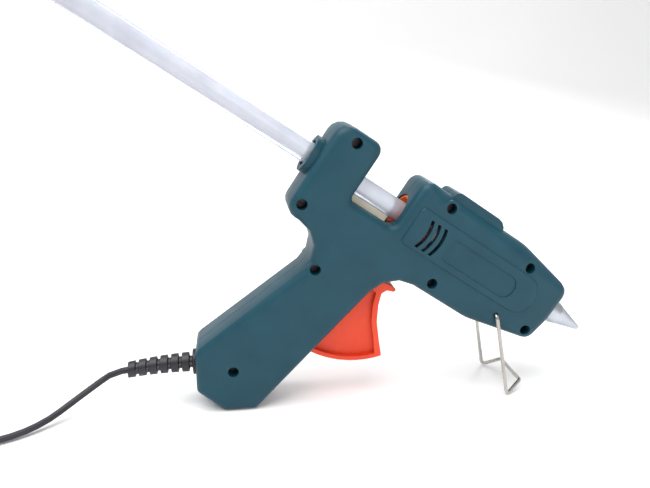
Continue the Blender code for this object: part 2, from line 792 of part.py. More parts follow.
def make_sleeve(material):
    """Funnel that guides the stick; it slips over the chamber's inlet and is notched for the carriage."""
    outer = REAR_HOLE_RADIUS - SEAT_GAP
    mouth = outer - 0.1 * outer
    socket = CHAMBER_INLET_RADIUS + SEAT_GAP
    front = sleeve_front()
    profile = (
        (front, outer),
        (SLEEVE_START, outer),
        (SLEEVE_START, mouth),
        (SLEEVE_START + SLEEVE_LENGTH * 0.35, SLEEVE_BORE),
        (front - SLEEVE_SOCKET_DEPTH, SLEEVE_BORE),
        (front - SLEEVE_SOCKET_DEPTH, socket),
        (front, socket),
    )
    sleeve = turned("inlet_sleeve", profile, material)
    half = TONGUE_HALF_WIDTH + CARRIAGE_SLOT_GAP
    low, high = (SLEEVE_START - OVERRUN, -half, -outer - OVERRUN), (STROKE_ROOM, half, -SLEEVE_BORE * 0.5)
    boolean(sleeve, cutter("sleeve_notch", lambda bm: add_box(bm, low, high)))


def make_chamber(material):
    """Finned melt chamber: an inlet in the sleeve's socket, a body, a nose and a neck for the nozzle."""
    start, shoulder, end = chamber_start(), chamber_shoulder(), chamber_end()
    body_end = shoulder + CHAMBER_LENGTH
    bore = STICK_RADIUS + STICK_CLEARANCE
    pitch = CHAMBER_LENGTH / 2 / CHAMBER_FIN_COUNT
    profile = [
        (end + CHAMBER_NECK_LENGTH, CHAMBER_NECK_RADIUS),
        (end, CHAMBER_NECK_RADIUS),
        (end, CHAMBER_NOSE_RADIUS),
        (body_end, CHAMBER_NOSE_RADIUS),
        (body_end, CHAMBER_RADIUS),
    ]
    for index in range(CHAMBER_FIN_COUNT):
        front = body_end - pitch * (index + 0.5)
        rear = front - pitch * 0.4
        fin = CHAMBER_RADIUS + CHAMBER_FIN_RISE
        profile += [(front, CHAMBER_RADIUS), (front, fin), (rear, fin), (rear, CHAMBER_RADIUS)]
    profile += [
        (shoulder, CHAMBER_RADIUS),
        (shoulder, CHAMBER_INLET_RADIUS),
        (start, CHAMBER_INLET_RADIUS),
        (start, bore),
        (start + CHAMBER_BORE_LENGTH, bore),
        (body_end, NOZZLE_TIP_RADIUS),
        (end + CHAMBER_NECK_LENGTH, NOZZLE_TIP_RADIUS),
    ]
    chamber = turned("melt_chamber", profile, material, steps=TURN_STEPS * 2 // 3)
    low, high = heater_box()
    seat_low = (low[0] - SEAT_GAP, -HEATER_WIDTH, low[2])
    seat_high = (high[0] + SEAT_GAP, HEATER_WIDTH, high[2] + SEAT_GAP)
    boolean(chamber, cutter("heater_seat", lambda bm: add_box(bm, seat_low, seat_high)))


def heater_box():
    """The heater plate lies against a flat under the chamber's rear half."""
    front = chamber_shoulder() + OVERRUN + HEATER_LENGTH
    top = -CHAMBER_RADIUS + SEAT_GAP * 3
    low = (front - HEATER_LENGTH, -HEATER_WIDTH / 2, top - HEATER_HEIGHT)
    return low, (front, HEATER_WIDTH / 2, top)


def make_heater(material, clip_material):
    low, high = heater_box()
    heater = add_object("heater_plate", mesh_from(lambda bm: add_box(bm, low, high)), material, GUN)
    bevel(heater, SEAT_GAP, 1)
    middle = (low[0] + high[0]) / 2
    inner = CHAMBER_RADIUS + SEAT_GAP
    outer = inner + CLIP_THICKNESS
    bottom = low[2] - SEAT_GAP
    arc = sector(Vector((0, 0)), outer, 0, math.pi, steps=ARCH_STEPS)
    hollow = sector(Vector((0, 0)), inner, math.pi, 0, steps=ARCH_STEPS)
    shape = [(outer, bottom - CLIP_THICKNESS)] + [tuple(point) for point in arc]
    shape += [(-outer, bottom - CLIP_THICKNESS)]
    hole = [(-inner, bottom)] + [tuple(point) for point in hollow] + [(inner, bottom)]
    clip = add_object("heater_clip", mesh_from(
        lambda bm: add_cross_prism(bm, shape, middle - CLIP_WIDTH / 2, middle + CLIP_WIDTH / 2)
    ), clip_material, GUN)
    boolean(clip, cutter("clip_hollow", lambda bm: add_cross_prism(
        bm, hole, middle - CLIP_WIDTH, middle + CLIP_WIDTH
    )))


def add_cross_prism(bm, outline, low_x, high_x):
    """An outline of (y, z) points pushed along X."""
    vertices = [bm.verts.new((low_x, y, z)) for y, z in outline]
    face = bm.faces.new(vertices)
    top = bmesh.ops.extrude_face_region(bm, geom=[face])["geom"]
    moved = [item for item in top if isinstance(item, bmesh.types.BMVert)]
    bmesh.ops.translate(bm, verts=moved, vec=(high_x - low_x, 0, 0))


def make_sleeve_clamp(material):
    """Spring wire ring round the sleeve's front end."""
    radius = REAR_HOLE_RADIUS + CLAMP_RING_WIRE
    middle = sleeve_front() - SLEEVE_SOCKET_DEPTH / 2
    ring = sector(Vector((middle, radius)), CLAMP_RING_WIRE, -math.pi, math.pi, steps=6)[:-1]
    turned("sleeve_clamp", [tuple(point) for point in ring], material)


def make_front_bush(material):
    """Heat barrier in the housing's front hole; the chamber's shoulder and the nozzle's hexagon sit in it."""
    outer = FRONT_HOLE_RADIUS - SEAT_GAP
    front = BARREL_LENGTH - SEAT_GAP
    rear = front - BUSH_LENGTH
    inner = NOZZLE_RADIUS + SEAT_GAP
    profile = ((front, outer), (rear, outer), (rear, inner), (front, inner))
    turned("front_bush", profile, material)


def make_nozzle(material):
    """Turned nozzle with a hexagon behind and a faceted cone in front, drilled through."""
    tip = BARREL_LENGTH + NOZZLE_REACH
    rear = chamber_end() + SEAT_GAP
    hexagon = rear + NOZZLE_HEX_LENGTH
    collar = BARREL_LENGTH + NOZZLE_SLEEVE
    nozzle = add_object("nozzle", mesh_from(lambda bm: add_cylinder(
        bm, (rear, 0, 0), (hexagon, 0, 0), NOZZLE_HEX_RADIUS, steps=HEX_STEPS
    )), material, GUN)
    body = cutter("nozzle_body", lambda bm: add_cylinder(
        bm, (hexagon - OVERRUN, 0, 0), (collar, 0, 0), NOZZLE_RADIUS, steps=SMALL_STEPS
    ))
    cone = cutter("nozzle_cone", lambda bm: add_cylinder(
        bm, (collar - SEAT_GAP, 0, 0), (tip, 0, 0), NOZZLE_RADIUS * 0.99, NOZZLE_TIP_RADIUS, steps=SMALL_STEPS
    ))
    boolean(nozzle, body, "UNION")
    boolean(nozzle, cone, "UNION")
    socket = CHAMBER_NECK_RADIUS + SEAT_GAP
    depth = chamber_end() + CHAMBER_NECK_LENGTH + SEAT_GAP
    boolean(nozzle, cutter("nozzle_socket", lambda bm: add_cylinder(
        bm, (rear - OVERRUN, 0, 0), (depth, 0, 0), socket, steps=SMALL_STEPS
    )))
    boolean(nozzle, cutter("nozzle_bore", lambda bm: add_cylinder(
        bm, (depth - OVERRUN, 0, 0), (tip + OVERRUN, 0, 0), NOZZLE_BORE_RADIUS, steps=BORE_STEPS
    )))


def make_stick(material):
    end = STICK_ENTRY
    stick = add_object("glue_stick", mesh_from(
        lambda bm: add_cylinder(bm, (end - STICK_LENGTH, 0, 0), (end, 0, 0), STICK_RADIUS)
    ), material, GUN)
    bevel(stick, SEAT_GAP, 1)
    smooth(stick)


def drive_pin_x():
    """The drive pin leans back from the trigger pivot by half the stroke."""
    return -PIVOT_BACK - (PIVOT_DROP - DRIVE_DROP) * math.tan(TRIGGER_STROKE / 2)


def make_carriage(material, plate_material, pin_material):
    """Ring round the stick in the tower, a cradle under the stick, and lugs with the drive pin."""
    ring_start = CARRIAGE_RING_START
    ring_end = ring_start + CARRIAGE_RING_LENGTH
    bore = STICK_RADIUS + STICK_CLEARANCE
    carriage = add_object("feed_carriage", mesh_from(
        lambda bm: add_cylinder(bm, (ring_start, 0, 0), (ring_end, 0, 0), CARRIAGE_RING_RADIUS)
    ), material, GUN)
    tongue_low = (ring_start + SEAT_GAP, -TONGUE_HALF_WIDTH, -TONGUE_DROP)
    tongue_high = (-TONGUE_FRONT, TONGUE_HALF_WIDTH, -bore * 0.8)
    boolean(carriage, cutter("carriage_tongue", lambda bm: add_box(bm, tongue_low, tongue_high)), "UNION")
    pin_z = -DRIVE_DROP
    lug_low = pin_z - DRIVE_PIN_RADIUS * 1.3
    middle = drive_pin_x()
    outer = TONGUE_HALF_WIDTH + CARRIAGE_SLOT_GAP - SEAT_GAP
    inner = outer - DRIVE_LUG_THICKNESS

    def add_lugs(bm):
        for low, high in ((-outer, -inner), (inner, outer)):
            add_box(
                bm,
                (middle - DRIVE_LUG_LENGTH / 2, low, lug_low),
                (middle + DRIVE_LUG_LENGTH / 2, high, -TONGUE_DROP + OVERRUN / 2),
            )

    boolean(carriage, cutter("carriage_lugs", add_lugs), "UNION")
    pin_half = outer - DRIVE_LUG_THICKNESS / 2
    boolean(carriage, cutter("carriage_pin", lambda bm: add_cylinder(
        bm, (middle, -pin_half, pin_z), (middle, pin_half, pin_z), DRIVE_PIN_RADIUS, steps=SMALL_STEPS
    )), "UNION")
    ears_low = (ring_start - EAR_LENGTH, -TONGUE_HALF_WIDTH, -GRIP_PIN_DROP - OVERRUN)
    ears_high = (ring_end, TONGUE_HALF_WIDTH, -CARRIAGE_RING_RADIUS * 0.85)
    boolean(carriage, cutter("carriage_ears", lambda bm: add_box(bm, ears_low, ears_high)), "UNION")
    boolean(carriage, cutter("carriage_bore", lambda bm: add_cylinder(
        bm, (ring_start - OVERRUN, 0, 0), (OVERRUN, 0, 0), bore
    )))
    plate_room = (ring_start - EAR_LENGTH - OVERRUN, 0, 0), (ring_start + SEAT_GAP, 0, 0)
    boolean(carriage, cutter("plate_room", lambda bm: add_cylinder(
        bm, *plate_room, CARRIAGE_RING_RADIUS + SEAT_GAP * 2
    )))
    tail = GRIP_PLATE_THICKNESS / 2 + SEAT_GAP
    fork_low = (ring_start - EAR_LENGTH - OVERRUN, -tail, -GRIP_PIN_DROP - OVERRUN * 2)
    fork_high = (ring_start + SEAT_GAP * 2, tail, -CARRIAGE_RING_RADIUS * 0.5)
    fork = cutter("carriage_fork", lambda bm: add_box(bm, fork_low, fork_high))
    boolean(carriage, fork, solver="MANIFOLD")
    reach = TONGUE_HALF_WIDTH + OVERRUN
    hole = cutter("carriage_pin_hole", lambda bm: add_grip_pin(bm, reach, GRIP_PIN_RADIUS + SEAT_GAP))
    boolean(carriage, hole)
    smooth(carriage)
    make_grip_plate(plate_material, grip_pin_x())
    pin_mesh = mesh_from(lambda bm: add_grip_pin(bm, TONGUE_HALF_WIDTH, GRIP_PIN_RADIUS))
    smooth(add_object("grip_pin", pin_mesh, pin_material, GUN))


def add_grip_pin(bm, reach, radius):
    """The grip plate's pin, or its hole, as far as reach to each side."""
    x, z = grip_pin_x(), -GRIP_PIN_DROP
    add_cylinder(bm, (x, -reach, z), (x, reach, z), radius, steps=SMALL_STEPS)


def grip_pin_x():
    return CARRIAGE_RING_START - GRIP_PLATE_GAP - GRIP_PLATE_THICKNESS / 2


def make_grip_plate(material, plate_x):
    """Ring that tips back and bites the stick, with a tail down to its pin."""
    half = GRIP_PLATE_THICKNESS / 2
    plate = add_object("grip_plate", mesh_from(lambda bm: add_cylinder(
        bm, (-half, 0, GRIP_PIN_DROP), (half, 0, GRIP_PIN_DROP), CARRIAGE_RING_RADIUS
    )), material, GUN)
    plate.location = (plate_x, 0, -GRIP_PIN_DROP)
    tail = cutter("grip_tail", lambda bm: add_box(
        bm, (-half * 0.9, -half * 0.95, 0), (half * 0.9, half * 0.95, GRIP_PIN_DROP - STICK_RADIUS)
    ))
    eye = cutter("grip_eye", lambda bm: add_cylinder(
        bm, (0, -half, 0), (0, half, 0), GRIP_EYE_RADIUS, steps=SMALL_STEPS
    ))
    hole = cutter("grip_hole", lambda bm: add_cylinder(
        bm, (-OVERRUN, 0, GRIP_PIN_DROP), (OVERRUN, 0, GRIP_PIN_DROP), STICK_RADIUS + STICK_CLEARANCE * 1.5
    ))
    pin_hole = cutter("grip_pin_hole", lambda bm: add_cylinder(
        bm, (0, -OVERRUN, 0), (0, OVERRUN, 0), GRIP_PIN_RADIUS + SEAT_GAP, steps=SMALL_STEPS
    ))
    for tool, operation in ((tail, "UNION"), (eye, "UNION"), (hole, "DIFFERENCE"), (pin_hole, "DIFFERENCE")):
        tool.location = plate.location
        boolean(plate, tool, operation, "MANIFOLD")
    smooth(plate)


def trigger_outline():
    arc = sector(Vector((0, 0)), TRIGGER_RADIUS, TRIGGER_REAR_ANGLE, TRIGGER_FRONT_ANGLE, steps=12)
    face = [Vector((x * TRIGGER_RADIUS, z * TRIGGER_RADIUS)) for x, z in TRIGGER_FACE_SHARES]
    rear = Vector((math.cos(TRIGGER_REAR_ANGLE), math.sin(TRIGGER_REAR_ANGLE)))
    side = Vector((rear.y, -rear.x))
    hub = side * TRIGGER_HUB_RADIUS
    top = Vector((0, TRIGGER_HUB_RADIUS * 0.9))
    return arc + face + [top, hub]


def make_trigger(material, pin_material):
    """A sector about its pivot, webbed between its rims, with a forked arm up to the carriage."""
    pivot = trigger_pivot()
    outline = [tuple(point) for point in trigger_outline()]
    half = TRIGGER_HALF_WIDTH
    trigger = add_object("trigger", mesh_from(lambda bm: add_prism(bm, outline, -half, half)), material, GUN)
    trigger.location = (pivot.x, 0, pivot.y)
    bevel(trigger, SEAT_GAP * 2, 2)
    hub = cutter("trigger_hub", lambda bm: add_cylinder(bm, (0, -half, 0), (0, half, 0), TRIGGER_HUB_RADIUS))
    lean = TRIGGER_STROKE / 2
    reach = PIVOT_DROP - DRIVE_DROP
    top = reach / math.cos(lean) + DRIVE_PIN_RADIUS + SEAT_GAP
    arm = cutter("trigger_arm", lambda bm: add_box(
        bm, (-ARM_WIDTH / 2, -ARM_HALF_WIDTH, 0), (ARM_WIDTH / 2, ARM_HALF_WIDTH, top)
    ))
    slot_half = DRIVE_PIN_RADIUS + SEAT_GAP
    slot = cutter("trigger_slot", lambda bm: add_box(
        bm, (-slot_half, -OVERRUN * 2, reach - slot_half), (slot_half, OVERRUN * 2, top + OVERRUN)
    ))
    hole = cutter("trigger_pin_hole", lambda bm: add_cylinder(
        bm, (0, -half - OVERRUN, 0), (0, half + OVERRUN, 0), TRIGGER_PIN_RADIUS + SEAT_GAP, steps=SMALL_STEPS
    ))
    pockets = cutter("trigger_pockets", add_trigger_pockets)
    for tool in (arm, slot):
        tool.rotation_euler = (0, -lean, 0)
    for tool in (hub, arm, slot, hole, pockets):
        tool.location = trigger.location
    boolean(trigger, pockets)
    for tool in (hub, arm):
        boolean(trigger, tool, "UNION")
    boolean(trigger, slot)
    boolean(trigger, hole)
    smooth(trigger)
    pin = add_object("trigger_pin", mesh_from(lambda bm: add_cylinder(
        bm, (pivot.x, -TRIGGER_PIN_HALF_LENGTH, pivot.y), (pivot.x, TRIGGER_PIN_HALF_LENGTH, pivot.y),
        TRIGGER_PIN_RADIUS, steps=SMALL_STEPS,
    )), pin_material, GUN)
    smooth(pin)


def add_trigger_pockets(bm):
    """The hollow flank on each side, inside the front and lower rims."""
    outer = TRIGGER_RADIUS - TRIGGER_RIM
    start, finish = TRIGGER_REAR_ANGLE + math.radians(4), TRIGGER_FRONT_ANGLE - math.radians(4)
    arc = sector(Vector((0, 0)), outer, start, finish, steps=10)
    face = [Vector((x * TRIGGER_RADIUS, z * TRIGGER_RADIUS)) for x, z in TRIGGER_FACE_SHARES[:4]]
    inner = [point + Vector((-TRIGGER_RIM * 1.2, -TRIGGER_RIM * 0.5)) for point in face]
    back = sector(Vector((0, 0)), TRIGGER_HUB_RADIUS * 1.5, math.radians(-20), start, steps=5)
    outline = [tuple(point) for point in arc + inner + back]
    half = TRIGGER_HALF_WIDTH
    web, open_side = half - TRIGGER_WEB_DEPTH, half + OVERRUN
    for low, high in ((-open_side, -web), (web, open_side)):
        add_prism(bm, outline, low, high)


def tube(name, points, radius, material, resolution=2, parent=None, radii=None):
    curve = bpy.data.curves.new(name, "CURVE")
    curve.dimensions = "3D"
    curve.bevel_depth = radius
    curve.bevel_resolution = resolution
    curve.use_fill_caps = True
    spline = curve.splines.new("POLY")
    spline.points.add(len(points) - 1)
    for index, (slot, point) in enumerate(zip(spline.points, points)):
        slot.co = (*point, 1)
        slot.radius = radii[index] if radii else 1
    obj = bpy.data.objects.new(name, curve)
    PARTS.objects.link(obj)
    curve.materials.append(material)
    obj.parent = parent
    return obj


def smooth_route(points, spacing):
    """Points about a spacing apart along a smooth curve through the given ones."""
    points = [Vector(point) for point in points]
    ends = [points[0] * 2 - points[1]] + points + [points[-1] * 2 - points[-2]]
    route = []
    for before, start, finish, after in zip(ends, ends[1:], ends[2:], ends[3:]):
        steps = max(1, round((finish - start).length / spacing))
        for step in range(steps):
            t = step / steps
            route.append(0.5 * (
                2 * start
                + (finish - before) * t
                + (2 * before - 5 * start + 4 * finish - after) * t * t
                + (3 * start - before - 3 * finish + after) * t * t * t
            ))
    return route + [points[-1]]


def make_spring(material):
    """Tension spring from the post to the trigger's arm."""
    start = -SPRING_POST_BACK + SPRING_POST_RADIUS + SPRING_WIRE + SEAT_GAP
    lean = math.tan(TRIGGER_STROKE / 2) * (PIVOT_DROP - SPRING_DROP)
    finish = -PIVOT_BACK - lean - ARM_WIDTH / 2 / math.cos(TRIGGER_STROKE / 2) - SEAT_GAP - SPRING_WIRE
    count = SPRING_TURNS * SPRING_STEPS
    points = []
    for step in range(count + 1):
        angle = math.tau * step / SPRING_STEPS
        x = start + (finish - start) * step / count
        points.append((x, SPRING_RADIUS * math.cos(angle), -SPRING_DROP + SPRING_RADIUS * math.sin(angle)))
    tube("return_spring", points, SPRING_WIRE, material, resolution=0, parent=GUN)


def gun_height():
    """Height of the gun frame's origin when the heel lies on the ground."""
    front = heel_points()[0]
    return front.x * math.sin(REST_TILT) - front.y * math.cos(REST_TILT)


def to_gun(point):
    """A point of the standing gun's level frame, taken into the gun frame."""
    x, y, z = point
    cos, sin = math.cos(REST_TILT), math.sin(REST_TILT)
    return Vector((x * cos - z * sin, y, x * sin + z * cos))


def make_stand(material):
    """One bent wire: two turned-in pivots, two legs and a toe bar that kicks up in front."""
    pivot = Vector((STAND_PIVOT_X, 0, -STAND_PIVOT_DROP))
    height = gun_height() - pivot.x * math.sin(REST_TILT) + pivot.z * math.cos(REST_TILT)
    down = height - WIRE_RADIUS
    inner = HALF_WIDTH - STAND_HOLE_DEPTH
    corners = (
        (STAND_LEAN + STAND_TOE_RUN, STAND_TOE_HALF_WIDTH, -down + STAND_TOE_RISE),
        (STAND_LEAN, STAND_HALF_WIDTH, -down),
        (0, STAND_TOP_HALF_WIDTH, 0),
        (0, inner, 0),
    )
    left = [Vector(corner) for corner in corners]
    right = [Vector((x, -y, z)) for x, y, z in reversed(corners)]
    path = round_bends(right + left, WIRE_RADIUS * 2.2)
    lowest = min(point.z for point in path)
    for point in path:
        point.z *= -down / lowest
    path = [to_gun(point) for point in path]
    wire = tube("wire_stand", path, WIRE_RADIUS, material, resolution=2, parent=GUN)
    wire.location = pivot


def round_bends(points, radius, steps=3):
    """A wire's path with each corner turned about a small radius."""
    path = [points[0]]
    for before, here, after in zip(points, points[1:], points[2:]):
        first, second = (before - here).normalized(), (after - here).normalized()
        half = first.angle(second) / 2
        reach = radius / math.tan(half)
        start, finish = here + first * reach, here + second * reach
        for step in range(steps + 1):
            t = step / steps
            path.append(start * (1 - t) ** 2 + here * 2 * t * (1 - t) + finish * t * t)
    return path + [points[-1]]


def make_relief(material):
    """Ribbed sleeve that droops as it leaves the handle, with its flange, neck and inner stub."""
    mouth, inwards = relief_mouth(), gun_direction(0)
    profile = [
        (-RELIEF_STUB - WALL, CORD_RADIUS),
        (-WALL - SEAT_GAP * 6, CORD_RADIUS),
        (-WALL - SEAT_GAP * 5, RELIEF_FLANGE_RADIUS * 0.9),
        (-WALL - SEAT_GAP, RELIEF_FLANGE_RADIUS * 0.9),
        (-WALL - SEAT_GAP * 0.9, RELIEF_NECK_RADIUS),
        (SEAT_GAP * 0.9, RELIEF_NECK_RADIUS),
        (SEAT_GAP, RELIEF_FLANGE_RADIUS),
        (RELIEF_FLANGE, RELIEF_FLANGE_RADIUS),
        (RELIEF_FLANGE + SEAT_GAP, RELIEF_BODY_RADIUS * RELIEF_GROOVE_SHARE),
    ]
    pitch = (RELIEF_LENGTH - RELIEF_FLANGE) / RELIEF_RIBS
    for rib in range(RELIEF_RIBS):
        share = (rib + 0.5) / RELIEF_RIBS
        radius = RELIEF_BODY_RADIUS + (RELIEF_END_RADIUS - RELIEF_BODY_RADIUS) * share
        start = RELIEF_FLANGE + pitch * rib
        groove = radius * RELIEF_GROOVE_SHARE
        profile += [
            (start + pitch * 0.18, groove),
            (start + pitch * 0.26, radius),
            (start + pitch * 0.92, radius),
            (start + pitch, groove),
        ]
    points, radii = [], []
    for distance, radius in profile:
        droop = RELIEF_DROOP * max(0, distance / RELIEF_LENGTH) ** 2
        flat = mouth - inwards * distance - gun_direction(math.pi / 2) * droop
        points.append((flat.x, 0, flat.y))
        radii.append(radius / RELIEF_BODY_RADIUS)
    relief = tube("strain_relief", points, RELIEF_BODY_RADIUS, material, 3, GUN, radii)
    return relief, points[-1], points[-2]


def make_clamp(material, screw_material):
    """Bar that holds the cord down on its saddle, with two screws."""
    middle, inwards, across = clamp_frame()
    low = -CORD_RADIUS - SEAT_GAP - CLAMP_THICKNESS
    corners = [
        tuple(middle + inwards * CLAMP_BAR / 2 * a + across * CLAMP_LENGTH / 2 * b)
        for a, b in ((-1, -1), (1, -1), (1, 1), (-1, 1))
    ]
    clamp = add_object("cord_clamp", mesh_from(
        lambda bm: add_prism(bm, corners, low, low + CLAMP_THICKNESS)
    ), material, GUN)
    bevel(clamp, SEAT_GAP, 1)

    def add_holes(bm):
        for way in (-1, 1):
            place = middle + across * CLAMP_SCREW_SPREAD * way
            radius = CLAMP_SHANK_RADIUS + SEAT_GAP
            ends = (place.x, low - OVERRUN, place.y), (place.x, 0, place.y)
            add_cylinder(bm, *ends, radius, steps=SMALL_STEPS)

    boolean(clamp, cutter("clamp_holes", add_holes))
    for number, way in ((1, -1), (2, 1)):
        place = middle + across * CLAMP_SCREW_SPREAD * way
        head = low - SCREW_HEAD_HEIGHT - SEAT_GAP
        reach = CLAMP_SCREW_LENGTH - SEAT_GAP
        radii = CLAMP_HEAD_RADIUS, CLAMP_SHANK_RADIUS
        make_screw(f"clamp_screw_{number}", tuple(place), head, reach, *radii, screw_material)


def make_leads(materials):
    """Two insulated leads from the cord's end up the handle, past the trigger and on to the heater."""
    inwards = gun_direction(0)
    stub_end = relief_mouth() + inwards * (RELIEF_STUB + WALL + SEAT_GAP + LEAD_RADIUS)
    low, _ = heater_box()
    pivot = trigger_pivot()
    names = ("live_lead", "neutral_lead")
    for name, side, material in zip(names, (-1, 1), materials):
        inner = LEAD_RADIUS + SEAT_GAP
        route = (
            (stub_end.x, side * inner, stub_end.y),
            (pivot.x - TRIGGER_RADIUS * 0.66, side * LEAD_SPREAD * 0.5, pivot.y - TRIGGER_RADIUS * 1.35),
            (pivot.x - TRIGGER_RADIUS * 0.62, side * LEAD_SPREAD * 0.8, pivot.y - TRIGGER_RADIUS * 0.9),
            (pivot.x - TRIGGER_RADIUS * 0.40, side * LEAD_SPREAD, pivot.y - TRIGGER_RADIUS * 0.48),
            (pivot.x - TRIGGER_HUB_RADIUS * 2.6, side * LEAD_SPREAD, pivot.y - TRIGGER_HUB_RADIUS),
            (pivot.x - TRIGGER_HUB_RADIUS * 2, side * LEAD_SPREAD, -SPRING_DROP),
            (pivot.x, side * LEAD_SPREAD, -SPRING_DROP + CLAMP_THICKNESS),
            (low[0] * 0.5, side * LEAD_SPREAD, -DRIVE_DROP * 1.2),
            (low[0] - SEAT_GAP - LEAD_RADIUS, side * HEATER_WIDTH / 4, low[2] + HEATER_HEIGHT / 2),
        )
        tube(name, smooth_route(route, LEAD_RADIUS * 6), LEAD_RADIUS, material, resolution=1, parent=GUN)


def make_screws(material):
    head = -HALF_WIDTH + RECESS_DEPTH - SCREW_HEAD_HEIGHT - SEAT_GAP
    for number, place in enumerate(screw_places(), start=1):
        make_screw(
            f"shell_screw_{number}", place, head, SCREW_REACH, SCREW_HEAD_RADIUS, SCREW_SHANK_RADIUS, material
        )


def coil_base():
    """The coil rests on the strap that goes under it."""
    return CORD_RADIUS + TIE_THICKNESS + SEAT_GAP * 2


def coil_point(turns):
    """A point of the coil after so many turns; it winds in and out again, a layer at a time."""
    per_layer = COIL_TURNS / COIL_LAYERS
    layer = min(int(turns / per_layer), COIL_LAYERS - 1)
    within = turns / per_layer - layer
    reach = COIL_PITCH * per_layer / 2
    share = 1 - 2 * within if layer % 2 == 0 else 2 * within - 1
    radius = COIL_MEAN_RADIUS + reach * share
    height = coil_base()
    for change in range(1, COIL_LAYERS):
        step = (turns - per_layer * change) / 0.5 + 0.5
        height += COIL_LAYER_RISE * min(1, max(0, step))
    angle = -math.pi / 2 - math.tau * turns
    x, y = COIL_CENTRE
    return Vector((x + radius * math.cos(angle), y + radius * math.sin(angle), height))


def make_cord(relief_end, relief_before, material):
    start_way = (relief_end - relief_before).normalized()
    diameter = CORD_RADIUS * 2
    count = round(COIL_TURNS * COIL_TURN_POINTS)
    coil = [coil_point(COIL_TURNS * step / count) for step in range(count + 1)]
    lead_in = (coil[0] - coil[1]).normalized()
    lead_out = (coil[-1] - coil[-2]).normalized()
    coil = [coil[0] + lead_in * diameter] + coil + [coil[-1] + lead_out * diameter]
    tube("cord_coil", coil, CORD_RADIUS, material, resolution=1)
    report_coil_gap(coil)
    first = relief_end + start_way * SEAT_GAP
    route = [first, first + start_way * diameter] + [Vector(point) for point in CORD_ROUTE]
    last = coil[0] + lead_in * SEAT_GAP
    route += [last + lead_in * diameter, last]
    tube("cord", smooth_route(route, diameter * 2.4), CORD_RADIUS, material, resolution=2)
    begin = coil[-1] + lead_out * SEAT_GAP
    plug_rear = Vector((PLUG_PLACE[0] + SEAT_GAP, PLUG_PLACE[1], PLUG_THICKNESS / 2))
    tail = [begin, begin + lead_out * diameter] + [Vector(point) for point in TAIL_ROUTE]
    tail += [plug_rear + Vector((diameter, 0, 0)), plug_rear]
    tube("cord_tail", smooth_route(tail, diameter * 2.4), CORD_RADIUS, material, resolution=2)


def report_coil_gap(points):
    """Prints the coil's least gap to itself, measured between points half a turn or more apart."""
    least = min(
        (first - second).length
        for index, first in enumerate(points)
        for second in points[index + COIL_TURN_POINTS // 2:]
    )
    print(f"least gap of the coil to itself: {(least - CORD_RADIUS * 2) * 1000:.2f} mm")


def make_tie(material):
    """Strap round the coil's section, across from where the cord comes in."""
    crossings = [coil_point(turn + 0.5) for turn in range(int(COIL_TURNS))]
    room = CORD_RADIUS + SEAT_GAP
    low_y, high_y = min(p.y for p in crossings) - room, max(p.y for p in crossings) + room
    low_z, high_z = min(p.z for p in crossings) - room, max(p.z for p in crossings) + room
    start, finish = COIL_CENTRE[0] - TIE_WIDTH / 2, COIL_CENTRE[0] + TIE_WIDTH / 2

    def ring(grow, overrun):
        corners = (
            (low_y - grow, low_z - grow, TIE_THICKNESS + grow),
            (high_y + grow, low_z - grow, TIE_THICKNESS + grow),
            (high_y + grow, high_z + grow, TIE_THICKNESS + grow),
            (low_y - grow, high_z + grow, TIE_THICKNESS + grow),
        )
        outline = [point[:2] for point in fillet(corners)]
        return lambda bm: add_cross_prism(bm, outline, start - overrun, finish + overrun)

    tie = add_object("cord_tie", mesh_from(ring(TIE_THICKNESS, 0)), material)
    hollow = add_object("tie_hollow", mesh_from(ring(0, OVERRUN)), collection=CUTTERS)
    boolean(tie, hollow)


def make_plug(material, pin_material):
    """Flat two-pin plug that lies past the coil, with its pins away from it."""
    x, y = PLUG_PLACE
    waist, face = x - PLUG_LENGTH * 0.45, x - PLUG_LENGTH
    corners = (
        (x, y - PLUG_NECK_HALF_WIDTH, PLUG_NECK_FILLET),
        (waist, y - PLUG_HALF_WIDTH, PLUG_WAIST_FILLET),
        (face, y - PLUG_HALF_WIDTH, PLUG_FACE_FILLET),
        (face, y + PLUG_HALF_WIDTH, PLUG_FACE_FILLET),
        (waist, y + PLUG_HALF_WIDTH, PLUG_WAIST_FILLET),
        (x, y + PLUG_NECK_HALF_WIDTH, PLUG_NECK_FILLET),
    )
    outline = [point[:2] for point in fillet(corners)]

    def build(bm):
        vertices = [bm.verts.new((px, py, 0)) for px, py in outline]
        face = bm.faces.new(vertices)
        top = bmesh.ops.extrude_face_region(bm, geom=[face])["geom"]
        moved = [item for item in top if isinstance(item, bmesh.types.BMVert)]
        bmesh.ops.translate(bm, verts=moved, vec=(0, 0, PLUG_THICKNESS))

    plug = add_object("plug", mesh_from(build), material)
    bevel(plug, PLUG_THICKNESS * 0.15, 2)
    smooth(plug)
    root, tip = face - SEAT_GAP, face - SEAT_GAP - PLUG_PIN_LENGTH
    height = PLUG_THICKNESS / 2
    for number, way in ((1, -1), (2, 1)):
        place = y + way * PLUG_PIN_SPACING / 2
        pin = add_object(f"plug_pin_{number}", mesh_from(lambda bm: add_cylinder(
            bm, (root, place, height), (tip, place, height), PLUG_PIN_RADIUS, steps=SMALL_STEPS
        )), pin_material)
        bevel(pin, PLUG_PIN_RADIUS * 0.4, 1)
        smooth(pin)


def place_gun():
    """Stands the gun on the ground with its box's middle, cord left out, over the origin."""
    cos, sin = math.cos(REST_TILT), math.sin(REST_TILT)
    rear = (STICK_ENTRY - STICK_LENGTH) * cos - STICK_RADIUS * sin
    front = (BARREL_LENGTH + NOZZLE_REACH) * cos + NOZZLE_TIP_RADIUS * sin
    GUN.location = (-(rear + front) / 2, 0, gun_height())
    GUN.rotation_euler = (0, REST_TILT, 0)


